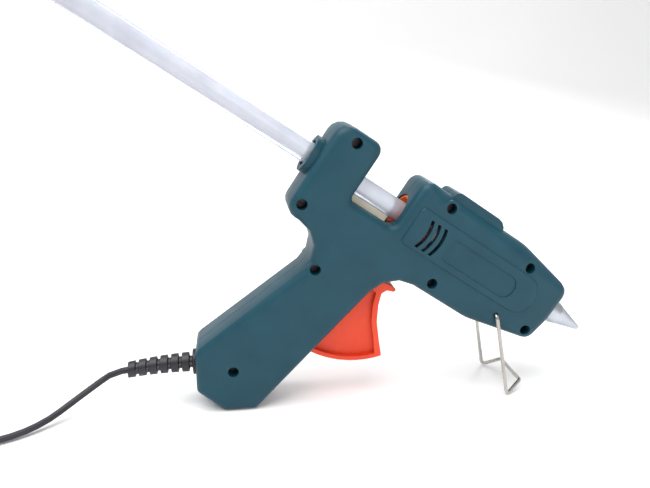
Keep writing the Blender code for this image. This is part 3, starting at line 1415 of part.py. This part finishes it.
clear_scene()
PARTS = make_collection("Hot glue applicator")
CUTTERS = make_collection("Cutters")
GUN = bpy.data.objects.new("gun_frame", None)
PARTS.objects.link(GUN)
place_gun()

TEAL = make_material("teal shell", (0.022, 0.075, 0.095), 0.42)
RED = make_material("red trigger", (0.62, 0.055, 0.022), 0.4)
ORANGE = make_material("orange sleeve", (0.85, 0.16, 0.035), 0.5)
IVORY = make_material("ivory nylon", (0.62, 0.57, 0.45), 0.45)
STEEL = make_material("bright steel", (0.62, 0.61, 0.58), 0.3, 1.0)
SCREW_STEEL = make_material("dark screw", (0.06, 0.06, 0.065), 0.4, 1.0)
ALLOY = make_material("cast alloy", (0.5, 0.51, 0.53), 0.45, 1.0)
NOZZLE_METAL = make_material("nozzle metal", (0.45, 0.47, 0.5), 0.35, 0.9)
GLUE = make_material("clear glue", (0.62, 0.67, 0.74), 0.3)
BLACK = make_material("black rubber", (0.015, 0.016, 0.02), 0.5)
CERAMIC = make_material("ceramic", (0.7, 0.68, 0.64), 0.7)
BROWN = make_material("brown lead", (0.16, 0.06, 0.025), 0.5)
BLUE = make_material("blue lead", (0.03, 0.08, 0.35), 0.5)

SHARED_CUTS = shared_cuts()
make_shell("right_shell", -1, TEAL)
make_shell("left_shell", 1, TEAL)
make_screws(SCREW_STEEL)
make_sleeve(ORANGE)
make_chamber(ALLOY)
make_heater(CERAMIC, STEEL)
make_sleeve_clamp(STEEL)
make_front_bush(BLACK)
make_nozzle(NOZZLE_METAL)
make_stick(GLUE)
make_carriage(IVORY, STEEL, STEEL)
make_trigger(RED, STEEL)
make_spring(STEEL)
make_stand(STEEL)
RELIEF, RELIEF_END, RELIEF_BEFORE = make_relief(BLACK)
make_clamp(IVORY, SCREW_STEEL)
make_leads((BROWN, BLUE))
bpy.context.view_layer.update()
make_cord(GUN.matrix_world @ Vector(RELIEF_END), GUN.matrix_world @ Vector(RELIEF_BEFORE), BLACK)
make_tie(BLACK)
make_plug(BLACK, STEEL)
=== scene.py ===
"""Looks for the hot glue applicator: camera, cord, strain relief, cord tie, materials, floor and light.

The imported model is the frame. Every length is in metres, in the model's own frame: +X towards the nozzle,
+Y to the applicator's left, +Z up, with the ground at zero.
"""

import json
import math

import bpy
from mathutils import Matrix, Vector


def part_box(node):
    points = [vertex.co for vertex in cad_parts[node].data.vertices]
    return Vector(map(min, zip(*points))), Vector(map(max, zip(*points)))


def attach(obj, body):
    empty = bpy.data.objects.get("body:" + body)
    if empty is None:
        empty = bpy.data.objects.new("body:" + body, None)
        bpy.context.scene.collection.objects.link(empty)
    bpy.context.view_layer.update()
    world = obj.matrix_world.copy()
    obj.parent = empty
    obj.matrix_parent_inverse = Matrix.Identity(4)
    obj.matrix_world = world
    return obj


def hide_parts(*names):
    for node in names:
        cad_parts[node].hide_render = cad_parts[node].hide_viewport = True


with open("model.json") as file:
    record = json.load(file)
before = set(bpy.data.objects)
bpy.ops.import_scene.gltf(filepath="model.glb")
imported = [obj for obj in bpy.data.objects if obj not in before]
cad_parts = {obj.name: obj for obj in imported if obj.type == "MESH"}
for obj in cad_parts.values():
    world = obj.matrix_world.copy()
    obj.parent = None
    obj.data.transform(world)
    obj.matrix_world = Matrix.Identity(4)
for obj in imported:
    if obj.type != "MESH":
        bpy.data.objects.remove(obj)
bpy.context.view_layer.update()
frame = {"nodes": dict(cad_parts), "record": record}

# Camera, as the photograph was taken
CAMERA_PLACE = (-0.04227, -0.3173, 0.1752)
CAMERA_RIGHT = (0.9903, -0.1392, 0.0)
CAMERA_LOOK = (0.1338, 0.9519, -0.2756)
LENS_MM = 36
SENSOR_MM = 36

# Cord: the same route as its solids have
CORD_RADIUS = 0.0018
CORD_ROUTE = (
    (-0.1105, 0.0009, 0.0166),
    (-0.1222, -0.0045, 0.0104),
    (-0.1295, -0.0095, 0.0068),
    (-0.1375, -0.0165, 0.0037),
    (-0.1470, -0.0240, 0.0022),
    (-0.1580, -0.0295, 0.0018),
    (-0.1690, -0.0317, 0.0018),
    (-0.1850, -0.0317, 0.0018),
)
COIL_CENTRE = (-0.2010, -0.0037)
COIL_MEAN_RADIUS = 0.0230
COIL_PITCH = 0.0050
COIL_LAYERS = 4
COIL_LAYER_RISE = 0.0042
COIL_TURNS = 8
COIL_TURN_POINTS = 48
COIL_BASE = 0.0032
TAIL_ROUTE = (
    (-0.2125, -0.0319, 0.0156),
    (-0.2225, -0.0308, 0.0138),
    (-0.2325, -0.0275, 0.0108),
    (-0.2415, -0.0232, 0.0083),
)
PLUG_REAR = (-0.2557, -0.0195, 0.0068)
ROUTE_SPACING = 0.0050
GROOVE_DEPTH = 0.00045
GROOVE_HALF_ANGLE = math.radians(24)
PROFILE_POINTS = 28

# Strain relief
RELIEF_MOUTH = (-0.06545, 0.0, 0.0222)
RELIEF_LENGTH = 0.0350
RELIEF_DROOP = 0.0026
RELIEF_FLANGE = 0.0020
RELIEF_FLANGE_RADIUS = 0.0067
RELIEF_BODY_RADIUS = 0.0052
RELIEF_END_RADIUS = 0.0042
RELIEF_CORE_RADIUS = 0.0031
RELIEF_NECK_RADIUS = 0.0046
RELIEF_STUB = 0.0112
RELIEF_RIBS = 6
RELIEF_SIDES = 48
RELIEF_RINGS_PER_RIB = 14
SLOT_SHARE = 0.30
SLOT_EDGE_SHARE = 0.06
BRIDGE_HALF_ANGLE = math.radians(17)
BRIDGE_INNER_SHARE = 0.6
BRIDGE_OUTER_SHARE = 1.4
BRIDGE_RISE_SHARE = 0.75
EDGE_ROUND = 0.0004
EDGE_STEP = EDGE_ROUND / 100

# Cord tie
TIE_THICKNESS = 0.0008
TIE_CORNER = 0.0016
TIE_ARC_STEPS = 6

# Room round the object
FLOOR_HALF_WIDTH = 2.2
FLOOR_FRONT = -1.6
WALL_PLACE = 1.9
WALL_HEIGHT = 2.6
COVE_RADIUS = 0.9
COVE_STEPS = 24
FLOOR_DROP = 0.0004
PAPER_ROUGHNESS = 0.9
WORLD_STRENGTH = 0.62
LIT_PLACE = (0.0, 0.0, 0.08)
LIGHTS = (
    ("key", (-0.4, -0.3, 1.5), (1.6, 1.4), 30),
    ("fill", (0.6, -1.3, 0.5), (0.9, 0.9), 4),
    ("edge", (0.5, 0.9, 0.9), (0.3, 1.2), 6),
)

# Scales of the noise in the materials, in cells a metre, and the spread of their roughness
CLOUD_SCALE = 60
SHEEN_SCALE = 140
GRAIN_SCALE = 1500
TONE_SCALE = 90
MARK_SCALE = 500
PAPER_SCALE = 3
MOULDED_SPREAD = (-0.05, 0.06)
METAL_SPREAD = (-0.08, 0.10)

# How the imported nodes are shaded
SMOOTH_ANGLE = math.radians(34)
WELD_DISTANCE = 0.000002


def link(obj):
    bpy.context.scene.collection.objects.link(obj)
    return obj


def make_camera():
    """The camera looks along CAMERA_LOOK, with no roll."""
    right, look = Vector(CAMERA_RIGHT).normalized(), Vector(CAMERA_LOOK).normalized()
    up = right.cross(look)
    camera = link(bpy.data.objects.new("camera", bpy.data.cameras.new("camera")))
    camera.data.lens = LENS_MM
    camera.data.sensor_width = SENSOR_MM
    turn = Matrix((right, up, -look)).transposed().to_4x4()
    camera.matrix_world = Matrix.Translation(CAMERA_PLACE) @ turn
    bpy.context.scene.camera = camera


class Nodes:
    """A Principled material and the few nodes that feed it."""

    def __init__(self, name, roughness, metallic=0.0, **sockets):
        self.material = bpy.data.materials.new(name)
        self.material.use_nodes = True
        self.tree = self.material.node_tree
        self.shader = self.tree.nodes["Principled BSDF"]
        self.shader.inputs["Roughness"].default_value = roughness
        self.shader.inputs["Metallic"].default_value = metallic
        for socket, value in sockets.items():
            self.shader.inputs[socket.replace("_", " ")].default_value = value
        self.place = self.tree.nodes.new("ShaderNodeTexCoord").outputs["Object"]

    def noise(self, scale, detail=4.0, stretch=(1, 1, 1)):
        """Noise over the piece, stretched along some axes if wanted."""
        mapping = self.tree.nodes.new("ShaderNodeMapping")
        mapping.inputs["Scale"].default_value = stretch
        self.tree.links.new(self.place, mapping.inputs["Vector"])
        texture = self.tree.nodes.new("ShaderNodeTexNoise")
        texture.inputs["Scale"].default_value = scale
        texture.inputs["Detail"].default_value = detail
        self.tree.links.new(mapping.outputs["Vector"], texture.inputs["Vector"])
        return texture.outputs["Fac"]

    def colours(self, value, low, high, start=0.3, finish=0.7):
        """Colour that runs from low to high over the value's middle range."""
        ramp = self.tree.nodes.new("ShaderNodeValToRGB")
        first, last = ramp.color_ramp.elements
        first.position, first.color = start, (*low, 1)
        last.position, last.color = finish, (*high, 1)
        self.tree.links.new(value, ramp.inputs["Fac"])
        self.tree.links.new(ramp.outputs["Color"], self.shader.inputs["Base Color"])

    def vary_roughness(self, value, low, high):
        spread = self.tree.nodes.new("ShaderNodeMapRange")
        spread.inputs["To Min"].default_value = low
        spread.inputs["To Max"].default_value = high
        self.tree.links.new(value, spread.inputs["Value"])
        self.tree.links.new(spread.outputs["Result"], self.shader.inputs["Roughness"])

    def bump(self, value, height, strength=1.0):
        """Relief of so many metres from a value that runs from zero to one."""
        bump = self.tree.nodes.new("ShaderNodeBump")
        bump.inputs["Strength"].default_value = strength
        bump.inputs["Distance"].default_value = height
        self.tree.links.new(value, bump.inputs["Height"])
        self.tree.links.new(bump.outputs["Normal"], self.shader.inputs["Normal"])


def moulded(name, low, high, roughness, grain=GRAIN_SCALE, height=0.00003, **sockets):
    """Moulded plastic or rubber: cloudy colour, fine spark-eroded grain and a slightly uneven sheen."""
    nodes = Nodes(name, roughness, **sockets)
    nodes.colours(nodes.noise(CLOUD_SCALE, 3), low, high)
    smoother, rougher = MOULDED_SPREAD
    nodes.vary_roughness(nodes.noise(SHEEN_SCALE, 2), roughness + smoother, roughness + rougher)
    nodes.bump(nodes.noise(grain, 2), height, 0.5)
    return nodes.material


def metal(name, low, high, roughness, stretch=(1, 1, 1), height=0.00002):
    """Plated, turned or cast metal, with marks that run along the stretch."""
    nodes = Nodes(name, roughness, metallic=1.0)
    marks = nodes.noise(MARK_SCALE, 5, stretch)
    nodes.colours(nodes.noise(TONE_SCALE, 3), low, high)
    smoother, rougher = METAL_SPREAD
    nodes.vary_roughness(marks, roughness + smoother, roughness + rougher)
    nodes.bump(marks, height, 0.35)
    return nodes.material


def make_materials():
    """One material for each finish in the record."""
    return {
        "teal_shell": moulded(
            "teal shell", (0.004, 0.045, 0.068), (0.006, 0.055, 0.082), 0.44,
            Specular_IOR_Level=0.30,
        ),
        "red_trigger": moulded(
            "red trigger", (0.66, 0.045, 0.014), (0.78, 0.066, 0.020), 0.38,
            Specular_IOR_Level=0.35,
        ),
        "orange_silicone": moulded("orange silicone", (0.86, 0.13, 0.020), (0.95, 0.18, 0.030), 0.45),
        "ivory_nylon": moulded(
            "ivory nylon", (0.56, 0.52, 0.41), (0.66, 0.62, 0.50), 0.42,
            Subsurface_Weight=0.1,
        ),
        "bright_steel": metal("bright steel", (0.40, 0.38, 0.35), (0.52, 0.50, 0.47), 0.26),
        "dark_screw": metal("dark screw", (0.030, 0.030, 0.034), (0.070, 0.068, 0.070), 0.42),
        "cast_alloy": metal("cast alloy", (0.42, 0.43, 0.45), (0.54, 0.55, 0.57), 0.50, height=0.00008),
        "nozzle_metal": metal(
            "nozzle metal", (0.36, 0.38, 0.42), (0.50, 0.53, 0.58), 0.34,
            stretch=(0.15, 1, 1),
        ),
        "ceramic": moulded("ceramic", (0.66, 0.63, 0.58), (0.74, 0.72, 0.68), 0.65),
        "clear_glue": moulded(
            "clear glue", (0.56, 0.60, 0.69), (0.70, 0.74, 0.82), 0.16,
            grain=250, Transmission_Weight=0.55, Subsurface_Weight=0.2, IOR=1.48,
        ),
        "black_rubber": moulded("black rubber", (0.006, 0.006, 0.011), (0.011, 0.011, 0.019), 0.42),
        "brown_lead": moulded("brown lead", (0.13, 0.045, 0.018), (0.18, 0.065, 0.028), 0.45),
        "blue_lead": moulded("blue lead", (0.022, 0.060, 0.28), (0.034, 0.085, 0.38), 0.45),
    }


def paint(obj, material):
    obj.data.materials.clear()
    obj.data.materials.append(material)


def paint_nodes(materials):
    """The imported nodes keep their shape; their round faces are shaded smooth and their edges stay sharp."""
    for subpart in frame["record"]["subparts"]:
        obj = frame["nodes"][subpart["node"]]
        paint(obj, materials[subpart["material_slot"]])
        obj.data.polygons.foreach_set("use_smooth", [True] * len(obj.data.polygons))
        obj.modifiers.new("Weld", "WELD").merge_threshold = WELD_DISTANCE
        split = obj.modifiers.new("Edges", "EDGE_SPLIT")
        split.split_angle = SMOOTH_ANGLE


def smooth_route(points, spacing):
    """Points about a spacing apart along a smooth curve through the given ones."""
    points = [Vector(point) for point in points]
    ends = [points[0] * 2 - points[1]] + points + [points[-1] * 2 - points[-2]]
    route = []
    for before, start, finish, after in zip(ends, ends[1:], ends[2:], ends[3:]):
        steps = max(1, round((finish - start).length / spacing))
        for step in range(steps):
            t = step / steps
            route.append(0.5 * (
                2 * start
                + (finish - before) * t
                + (2 * before - 5 * start + 4 * finish - after) * t * t
                + (3 * start - before - 3 * finish + after) * t * t * t
            ))
    return route + [points[-1]]


def coil_point(turns):
    """A point of the coil after so many turns; it winds in and out again, a layer at a time."""
    per_layer = COIL_TURNS / COIL_LAYERS
    layer = min(int(turns / per_layer), COIL_LAYERS - 1)
    within = turns / per_layer - layer
    reach = COIL_PITCH * per_layer / 2
    share = 1 - 2 * within if layer % 2 == 0 else 2 * within - 1
    radius = COIL_MEAN_RADIUS + reach * share
    height = COIL_BASE
    for change in range(1, COIL_LAYERS):
        step = (turns - per_layer * change) / 0.5 + 0.5
        height += COIL_LAYER_RISE * min(1, max(0, step))
    angle = -math.pi / 2 - math.tau * turns
    x, y = COIL_CENTRE
    return Vector((x + radius * math.cos(angle), y + radius * math.sin(angle), height))


def relief_axis(distance):
    """A point on the strain relief's drooping axis, so far from the handle."""
    droop = RELIEF_DROOP * max(0.0, distance / RELIEF_LENGTH) ** 2
    return Vector(RELIEF_MOUTH) - Vector((distance, 0, droop))


def cord_points():
    """The whole cord on one line: out of the relief, down to the ground, round the coil and into the plug."""
    diameter = CORD_RADIUS * 2
    end = relief_axis(RELIEF_LENGTH)
    way = (end - relief_axis(RELIEF_LENGTH - diameter)).normalized()
    count = round(COIL_TURNS * COIL_TURN_POINTS)
    coil = [coil_point(COIL_TURNS * step / count) for step in range(count + 1)]
    lead_in = (coil[0] - coil[1]).normalized()
    lead_out = (coil[-1] - coil[-2]).normalized()
    start = [end - way * diameter / 2, end + way * diameter] + [Vector(point) for point in CORD_ROUTE]
    start += [coil[0] + lead_in * diameter * 2, coil[0] + lead_in * diameter]
    finish = [coil[-1] + lead_out * diameter, coil[-1] + lead_out * diameter * 2]
    finish += [Vector(point) for point in TAIL_ROUTE]
    rear = Vector(PLUG_REAR)
    finish += [rear + Vector((diameter, 0, 0)), rear - Vector((diameter / 2, 0, 0))]
    return smooth_route(start, ROUTE_SPACING) + coil + smooth_route(finish, ROUTE_SPACING)


def cord_profile():
    """Section of a flat twin cord: a circle with a groove above and below, between its two cores."""
    curve = bpy.data.curves.new("cord_profile", "CURVE")
    curve.dimensions = "2D"
    spline = curve.splines.new("POLY")
    spline.points.add(PROFILE_POINTS - 1)
    spline.use_cyclic_u = True
    for index, point in enumerate(spline.points):
        angle = math.tau * index / PROFILE_POINTS
        off = (angle % math.pi - math.pi / 2) / GROOVE_HALF_ANGLE
        radius = CORD_RADIUS - GROOVE_DEPTH * math.exp(-off * off)
        point.co = (radius * math.cos(angle), radius * math.sin(angle), 0, 1)
    profile = link(bpy.data.objects.new("cord_profile", curve))
    profile.hide_render = True
    return profile


def make_cord(material):
    points = cord_points()
    curve = bpy.data.curves.new("mains_cord", "CURVE")
    curve.dimensions = "3D"
    curve.bevel_mode = "OBJECT"
    curve.bevel_object = cord_profile()
    curve.use_fill_caps = True
    spline = curve.splines.new("POLY")
    spline.points.add(len(points) - 1)
    for slot, point in zip(spline.points, points):
        slot.co = (*point, 1)
    spline.use_smooth = True
    cord = link(bpy.data.objects.new("mains_cord", curve))
    paint(cord, material)
    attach(cord, "housing")
    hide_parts("cord", "cord_coil", "cord_tail")
    return cord, points


def mesh_piece(name, rows, material, closed_ends=True):
    """A skin over rings of points, with the first and last ring filled in."""
    count = len(rows[0])
    vertices = [point for row in rows for point in row]
    faces = []
    for row in range(len(rows) - 1):
        for index in range(count):
            following = (index + 1) % count
            low, high = row * count, (row + 1) * count
            faces.append((low + index, low + following, high + following, high + index))
    if closed_ends:
        faces.append(tuple(range(count))[::-1])
        faces.append(tuple(range(len(vertices) - count, len(vertices))))
    mesh = bpy.data.meshes.new(name)
    mesh.from_pydata(vertices, [], faces)
    mesh.update()
    mesh.shade_smooth()
    mesh.set_sharp_from_angle(angle=SMOOTH_ANGLE)
    obj = link(bpy.data.objects.new(name, mesh))
    paint(obj, material)
    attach(obj, "housing")
    return obj


def ramp(value, start, finish):
    """From zero at start to one at finish, with soft ends."""
    share = min(1.0, max(0.0, (value - start) / (finish - start)))
    return share * share * (3 - 2 * share)


def relief_radius(distance, angle):
    """Radius of the relief: a stub and neck inside, a flange, then ribs that slots part above and below."""
    if distance < 0:
        return RELIEF_NECK_RADIUS if distance > -RELIEF_FLANGE else RELIEF_CORE_RADIUS
    if distance < RELIEF_FLANGE:
        edge = min(distance, RELIEF_FLANGE - distance)
        return RELIEF_FLANGE_RADIUS - EDGE_ROUND * (1 - min(1.0, edge / EDGE_ROUND)) ** 2
    along = (distance - RELIEF_FLANGE) / (RELIEF_LENGTH - RELIEF_FLANGE)
    body = RELIEF_BODY_RADIUS + (RELIEF_END_RADIUS - RELIEF_BODY_RADIUS) * along
    if along * RELIEF_RIBS >= RELIEF_RIBS - SLOT_EDGE_SHARE:
        return body
    within = along * RELIEF_RIBS % 1.0
    slot = ramp(within, 0.0, SLOT_EDGE_SHARE) * (1 - ramp(within, SLOT_SHARE, SLOT_SHARE + SLOT_EDGE_SHARE))
    from_side = abs((angle + math.pi / 2) % math.pi - math.pi / 2)
    inner, outer = BRIDGE_HALF_ANGLE * BRIDGE_INNER_SHARE, BRIDGE_HALF_ANGLE * BRIDGE_OUTER_SHARE
    bridge = 1 - ramp(from_side, inner, outer)
    depth = (body - RELIEF_CORE_RADIUS) * slot * (1 - bridge * BRIDGE_RISE_SHARE)
    return body - depth


def relief_stations():
    """Distances of the relief's rings, close together where its edges are."""
    stations = [-RELIEF_STUB, -RELIEF_FLANGE * 1.001, -RELIEF_FLANGE * 0.999, -EDGE_STEP, 0.0]
    stations += [EDGE_ROUND / 2, EDGE_ROUND, RELIEF_FLANGE - EDGE_ROUND, RELIEF_FLANGE - EDGE_ROUND / 2]
    stations.append(RELIEF_FLANGE - EDGE_STEP)
    count = RELIEF_RIBS * RELIEF_RINGS_PER_RIB
    reach = RELIEF_LENGTH - RELIEF_FLANGE
    return stations + [RELIEF_FLANGE + reach * step / count for step in range(count + 1)]


def make_relief(material):
    rows = []
    for distance in relief_stations():
        centre = relief_axis(distance)
        row = []
        for side in range(RELIEF_SIDES):
            angle = math.tau * side / RELIEF_SIDES
            radius = relief_radius(distance, angle)
            row.append(centre + Vector((0, radius * math.cos(angle), radius * math.sin(angle))))
        rows.append(row)
    relief = mesh_piece("relief_sleeve", rows, material)
    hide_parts("strain_relief")


def tie_outline(low_y, low_z, high_y, high_z, radius):
    """A rounded rectangle of (y, z) points."""
    outline = []
    corners = ((high_y, high_z, 0), (low_y, high_z, 1), (low_y, low_z, 2), (high_y, low_z, 3))
    for y, z, quarter in corners:
        centre_y = y - radius if quarter in (0, 3) else y + radius
        centre_z = z - radius if quarter in (0, 1) else z + radius
        for step in range(TIE_ARC_STEPS + 1):
            angle = math.pi / 2 * (quarter + step / TIE_ARC_STEPS)
            outline.append((centre_y + radius * math.cos(angle), centre_z + radius * math.sin(angle)))
    return outline


def make_tie(material):
    """Strap round the coil's section: a closed band with rounded edges, as its solid lies."""
    low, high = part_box("cord_tie")
    outer = tie_outline(low[1], low[2], high[1], high[2], TIE_CORNER)
    room = TIE_THICKNESS
    inner = tie_outline(low[1] + room, low[2] + room, high[1] - room, high[2] - room, TIE_CORNER - room)
    edge = TIE_THICKNESS / 4
    rows = []
    stations = ((low[0], 0.5), (low[0] + edge, 0.0), (high[0] - edge, 0.0), (high[0], 0.5))
    for x, share in stations:
        rows.append([mix(a, b, share, x) for a, b in zip(outer, inner)])
    for x, share in reversed(stations):
        rows.append([mix(b, a, share, x) for a, b in zip(outer, inner)])
    rows.append(rows[0])
    tie = mesh_piece("tie_strap", rows, material, closed_ends=False)
    tie.modifiers.new("Weld", "WELD").merge_threshold = WELD_DISTANCE
    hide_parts("cord_tie")
    return tie


def mix(first, second, share, x):
    """A point between two (y, z) places, share of the way up to a half of the band's thickness."""
    weight = share / 2
    return Vector((x, first[0] + (second[0] - first[0]) * weight, first[1] + (second[1] - first[1]) * weight))


def make_room():
    """A pale floor that curves up into a wall."""
    profile = [(FLOOR_FRONT, -FLOOR_DROP)]
    for step in range(COVE_STEPS + 1):
        angle = math.pi / 2 * step / COVE_STEPS
        y = WALL_PLACE - COVE_RADIUS + COVE_RADIUS * math.sin(angle)
        profile.append((y, COVE_RADIUS - COVE_RADIUS * math.cos(angle) - FLOOR_DROP))
    profile.append((WALL_PLACE, WALL_HEIGHT))
    vertices = [(x, y, z) for y, z in profile for x in (-FLOOR_HALF_WIDTH, FLOOR_HALF_WIDTH)]
    faces = [(2 * i, 2 * i + 1, 2 * i + 3, 2 * i + 2) for i in range(len(profile) - 1)]
    mesh = bpy.data.meshes.new("studio_floor")
    mesh.from_pydata(vertices, [], faces)
    mesh.shade_smooth()
    floor = link(bpy.data.objects.new("studio_floor", mesh))
    paper = Nodes("studio paper", PAPER_ROUGHNESS)
    paper.colours(paper.noise(PAPER_SCALE, 2), (0.90, 0.90, 0.90), (0.92, 0.92, 0.92))
    paint(floor, paper.material)


def area_light(name, place, size, power):
    """A white panel of so many watts, turned towards the object."""
    light = bpy.data.lights.new(name, "AREA")
    light.shape = "RECTANGLE"
    light.size, light.size_y = size
    light.energy = power
    obj = link(bpy.data.objects.new(name, light))
    way = Vector(LIT_PLACE) - Vector(place)
    obj.matrix_world = Matrix.Translation(place) @ way.to_track_quat("-Z", "Y").to_matrix().to_4x4()


def make_light():
    """Soft studio light: white surroundings, a broad key above, a fill in front and a strip behind."""
    world = bpy.data.worlds.new("studio")
    world.use_nodes = True
    background = world.node_tree.nodes["Background"]
    background.inputs["Color"].default_value = (1, 1, 1, 1)
    background.inputs["Strength"].default_value = WORLD_STRENGTH
    bpy.context.scene.world = world
    bpy.context.scene.view_settings.view_transform = "Standard"
    for light in LIGHTS:
        area_light(*light)


for leftover in ("Cube", "Light", "Camera"):
    if leftover in bpy.data.objects:
        bpy.data.objects.remove(bpy.data.objects[leftover], do_unlink=True)
make_camera()
MATERIALS = make_materials()
paint_nodes(MATERIALS)
CORD, CORD_LINE = make_cord(MATERIALS["black_rubber"])
make_relief(MATERIALS["black_rubber"])
TIE = make_tie(MATERIALS["black_rubber"])
make_room()
make_light()
